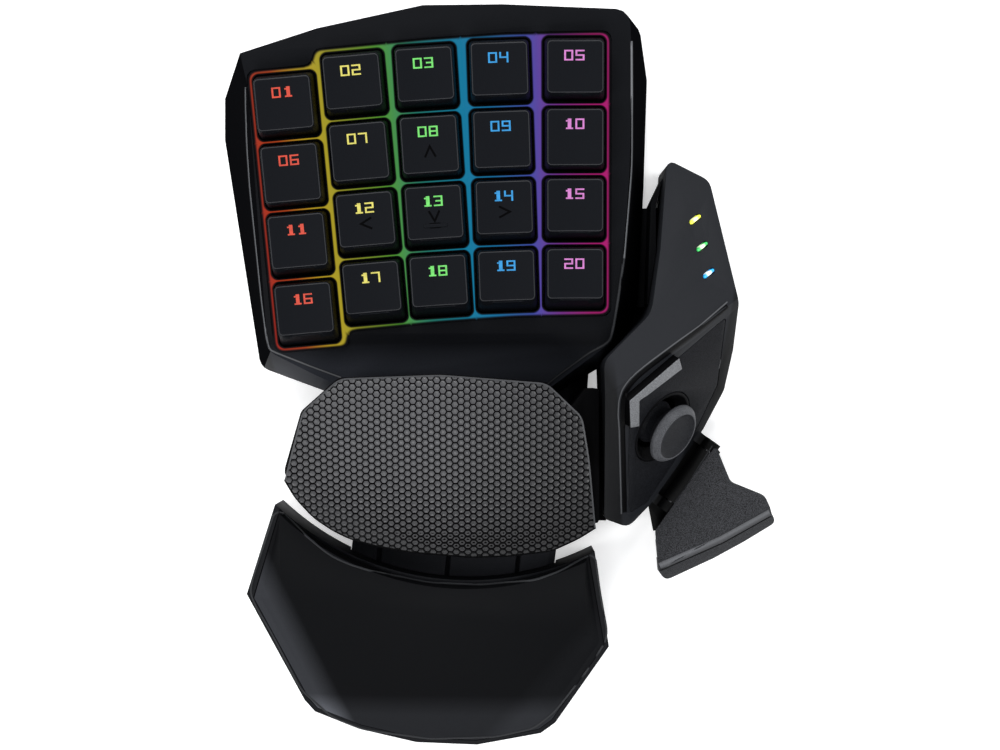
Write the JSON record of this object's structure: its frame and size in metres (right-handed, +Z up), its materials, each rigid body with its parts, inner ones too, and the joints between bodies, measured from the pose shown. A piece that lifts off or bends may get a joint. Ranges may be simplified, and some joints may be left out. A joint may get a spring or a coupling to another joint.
{
  "type": "gaming keypad",
  "caption": "One-handed gaming keypad: numbered keys on a sloped deck, sliding palm and wrist rests, and a thumb module with a stick, a corner button and a paddle.",
  "frame": {"origin": "middle of the footprint, on the table plane under the rubber feet", "axes": "+Y away from the user, from the wrist rest to the keys; +X to the user's right; +Z up"},
  "size_m": [0.1559, 0.2063, 0.053],
  "materials": {
    "base_plastic": "moulded, fine texture",
    "shell_plastic": "soft-touch coat",
    "speckled_plastic": "fine grained grey",
    "frame_plastic": "moulded black",
    "light_plastic": "milky light guide, lit in bands of colour",
    "plate_steel": "black coat",
    "board": "green board",
    "switch_plastic": "moulded",
    "foot_rubber": "matt",
    "screw_steel": "zinc coat",
    "soft_skin": "soft skin",
    "socket_plastic": "moulded black",
    "stick_plastic": "fine grained dark grey",
    "window_yellow": "lit yellow-green",
    "window_green": "lit green",
    "window_blue": "lit pale blue",
    "key_plastic": "moulded, smooth"
  },
  "bodies": {
    "main_unit": {"bottom_case": "base_plastic", "top_cover": "shell_plastic", "key_well_frame": "frame_plastic", "light_guide": "light_plastic", "switch_plate": "plate_steel", "circuit_board": "board", "switch_housings": "switch_plastic", "cable_gland": "foot_rubber", "rubber_feet": "foot_rubber", "case_screws": "screw_steel", "rest_rail": "shell_plastic", "rail_screws": "screw_steel"},
    "palm_rest": {"palm_rest_base": "shell_plastic", "palm_rest_pad": "soft_skin"},
    "wrist_rest": {"wrist_rest_shell": "shell_plastic", "wrist_rest_pad": "soft_skin", "wrist_rest_feet": "foot_rubber"},
    "thumb_module": {"thumb_housing": "shell_plastic", "thumb_arm": "shell_plastic", "thumb_base": "base_plastic", "thumb_panel": "speckled_plastic", "thumb_screws": "screw_steel", "thumb_feet": "foot_rubber", "thumb_circuit_board": "board", "button_switch": "switch_plastic", "stick_socket": "socket_plastic", "paddle_pin": "screw_steel", "indicator_yellow": "window_yellow", "indicator_green": "window_green", "indicator_blue": "window_blue"},
    "stick_ring": {"stick_gimbal": "socket_plastic"},
    "thumb_stick": {"thumb_stick": "stick_plastic"},
    "corner_button": {"corner_button": "speckled_plastic"},
    "thumb_paddle": {"thumb_paddle": "speckled_plastic"},
    "key_01": {"keycap_01": "key_plastic"},
    "key_02": {"keycap_02": "key_plastic"},
    "key_03": {"keycap_03": "key_plastic"},
    "key_04": {"keycap_04": "key_plastic"},
    "key_05": {"keycap_05": "key_plastic"},
    "key_06": {"keycap_06": "key_plastic"},
    "key_07": {"keycap_07": "key_plastic"},
    "key_08": {"keycap_08": "key_plastic"},
    "key_09": {"keycap_09": "key_plastic"},
    "key_10": {"keycap_10": "key_plastic"},
    "key_11": {"keycap_11": "key_plastic"},
    "key_12": {"keycap_12": "key_plastic"},
    "key_13": {"keycap_13": "key_plastic"},
    "key_14": {"keycap_14": "key_plastic"},
    "key_15": {"keycap_15": "key_plastic"},
    "key_16": {"keycap_16": "key_plastic"},
    "key_17": {"keycap_17": "key_plastic"},
    "key_18": {"keycap_18": "key_plastic"},
    "key_19": {"keycap_19": "key_plastic"},
    "key_20": {"keycap_20": "key_plastic"}
  },
  "joints": [
    {"name": "key_01_press", "type": "slide", "parent": "main_unit", "child": "key_01", "axis": [0, 0.1045, -0.9945], "range_m": [0, 0.004], "stiffness_N_per_m": 120, "springref_m": -0.003},
    {"name": "key_02_press", "type": "slide", "parent": "main_unit", "child": "key_02", "axis": [0, 0.1045, -0.9945], "range_m": [0, 0.004], "stiffness_N_per_m": 120, "springref_m": -0.003},
    {"name": "key_03_press", "type": "slide", "parent": "main_unit", "child": "key_03", "axis": [0, 0.1045, -0.9945], "range_m": [0, 0.004], "stiffness_N_per_m": 120, "springref_m": -0.003},
    {"name": "key_04_press", "type": "slide", "parent": "main_unit", "child": "key_04", "axis": [0, 0.1045, -0.9945], "range_m": [0, 0.004], "stiffness_N_per_m": 120, "springref_m": -0.003},
    {"name": "key_05_press", "type": "slide", "parent": "main_unit", "child": "key_05", "axis": [0, 0.1045, -0.9945], "range_m": [0, 0.004], "stiffness_N_per_m": 120, "springref_m": -0.003},
    {"name": "key_06_press", "type": "slide", "parent": "main_unit", "child": "key_06", "axis": [0, 0.1045, -0.9945], "range_m": [0, 0.004], "stiffness_N_per_m": 120, "springref_m": -0.003},
    {"name": "key_07_press", "type": "slide", "parent": "main_unit", "child": "key_07", "axis": [0, 0.1045, -0.9945], "range_m": [0, 0.004], "stiffness_N_per_m": 120, "springref_m": -0.003},
    {"name": "key_08_press", "type": "slide", "parent": "main_unit", "child": "key_08", "axis": [0, 0.1045, -0.9945], "range_m": [0, 0.004], "stiffness_N_per_m": 120, "springref_m": -0.003},
    {"name": "key_09_press", "type": "slide", "parent": "main_unit", "child": "key_09", "axis": [0, 0.1045, -0.9945], "range_m": [0, 0.004], "stiffness_N_per_m": 120, "springref_m": -0.003},
    {"name": "key_10_press", "type": "slide", "parent": "main_unit", "child": "key_10", "axis": [0, 0.1045, -0.9945], "range_m": [0, 0.004], "stiffness_N_per_m": 120, "springref_m": -0.003},
    {"name": "key_11_press", "type": "slide", "parent": "main_unit", "child": "key_11", "axis": [0, 0.1045, -0.9945], "range_m": [0, 0.004], "stiffness_N_per_m": 120, "springref_m": -0.003},
    {"name": "key_12_press", "type": "slide", "parent": "main_unit", "child": "key_12", "axis": [0, 0.1045, -0.9945], "range_m": [0, 0.004], "stiffness_N_per_m": 120, "springref_m": -0.003},
    {"name": "key_13_press", "type": "slide", "parent": "main_unit", "child": "key_13", "axis": [0, 0.1045, -0.9945], "range_m": [0, 0.004], "stiffness_N_per_m": 120, "springref_m": -0.003},
    {"name": "key_14_press", "type": "slide", "parent": "main_unit", "child": "key_14", "axis": [0, 0.1045, -0.9945], "range_m": [0, 0.004], "stiffness_N_per_m": 120, "springref_m": -0.003},
    {"name": "key_15_press", "type": "slide", "parent": "main_unit", "child": "key_15", "axis": [0, 0.1045, -0.9945], "range_m": [0, 0.004], "stiffness_N_per_m": 120, "springref_m": -0.003},
    {"name": "key_16_press", "type": "slide", "parent": "main_unit", "child": "key_16", "axis": [0, 0.1045, -0.9945], "range_m": [0, 0.004], "stiffness_N_per_m": 120, "springref_m": -0.003},
    {"name": "key_17_press", "type": "slide", "parent": "main_unit", "child": "key_17", "axis": [0, 0.1045, -0.9945], "range_m": [0, 0.004], "stiffness_N_per_m": 120, "springref_m": -0.003},
    {"name": "key_18_press", "type": "slide", "parent": "main_unit", "child": "key_18", "axis": [0, 0.1045, -0.9945], "range_m": [0, 0.004], "stiffness_N_per_m": 120, "springref_m": -0.003},
    {"name": "key_19_press", "type": "slide", "parent": "main_unit", "child": "key_19", "axis": [0, 0.1045, -0.9945], "range_m": [0, 0.004], "stiffness_N_per_m": 120, "springref_m": -0.003},
    {"name": "key_20_press", "type": "slide", "parent": "main_unit", "child": "key_20", "axis": [0, 0.1045, -0.9945], "range_m": [0, 0.004], "stiffness_N_per_m": 120, "springref_m": -0.003},
    {"name": "palm_rest_slide", "type": "slide", "parent": "main_unit", "child": "palm_rest", "axis": [-0.1253, -0.9921, 0], "range_m": [0, 0.005]},
    {"name": "wrist_rest_slide", "type": "slide", "parent": "main_unit", "child": "wrist_rest", "axis": [-0.1253, -0.9921, 0], "range_m": [-0.003, 0.02]},
    {"name": "thumb_module_slide", "type": "slide", "parent": "main_unit", "child": "thumb_module", "axis": [1, 0, 0], "range_m": [0, 0.01]},
    {"name": "stick_tilt_up_down", "type": "hinge", "parent": "thumb_module", "child": "stick_ring", "pos_m": [0.04162, -0.00892, 0.01832], "axis": [0.5519, 0.8339, 0], "range_deg": [-10, 10], "stiffness_Nm_per_rad": 0.03},
    {"name": "stick_tilt_left_right", "type": "hinge", "parent": "stick_ring", "child": "thumb_stick", "pos_m": [0.04162, -0.00892, 0.01832], "axis": [-0.4663, 0.3086, 0.829], "range_deg": [-10, 10], "stiffness_Nm_per_rad": 0.03},
    {"name": "corner_button_press", "type": "slide", "parent": "thumb_module", "child": "corner_button", "axis": [-0.6913, 0.4576, -0.5592], "range_m": [0, 0.0012], "stiffness_N_per_m": 400, "springref_m": -0.002},
    {"name": "thumb_paddle_press", "type": "hinge", "parent": "thumb_module", "child": "thumb_paddle", "pos_m": [0.05436, -0.02611, 0.0064], "axis": [0.5812, 0.8137, 0], "range_deg": [0, 5], "stiffness_Nm_per_rad": 0.12, "springref_deg": -3.44}
  ]
}
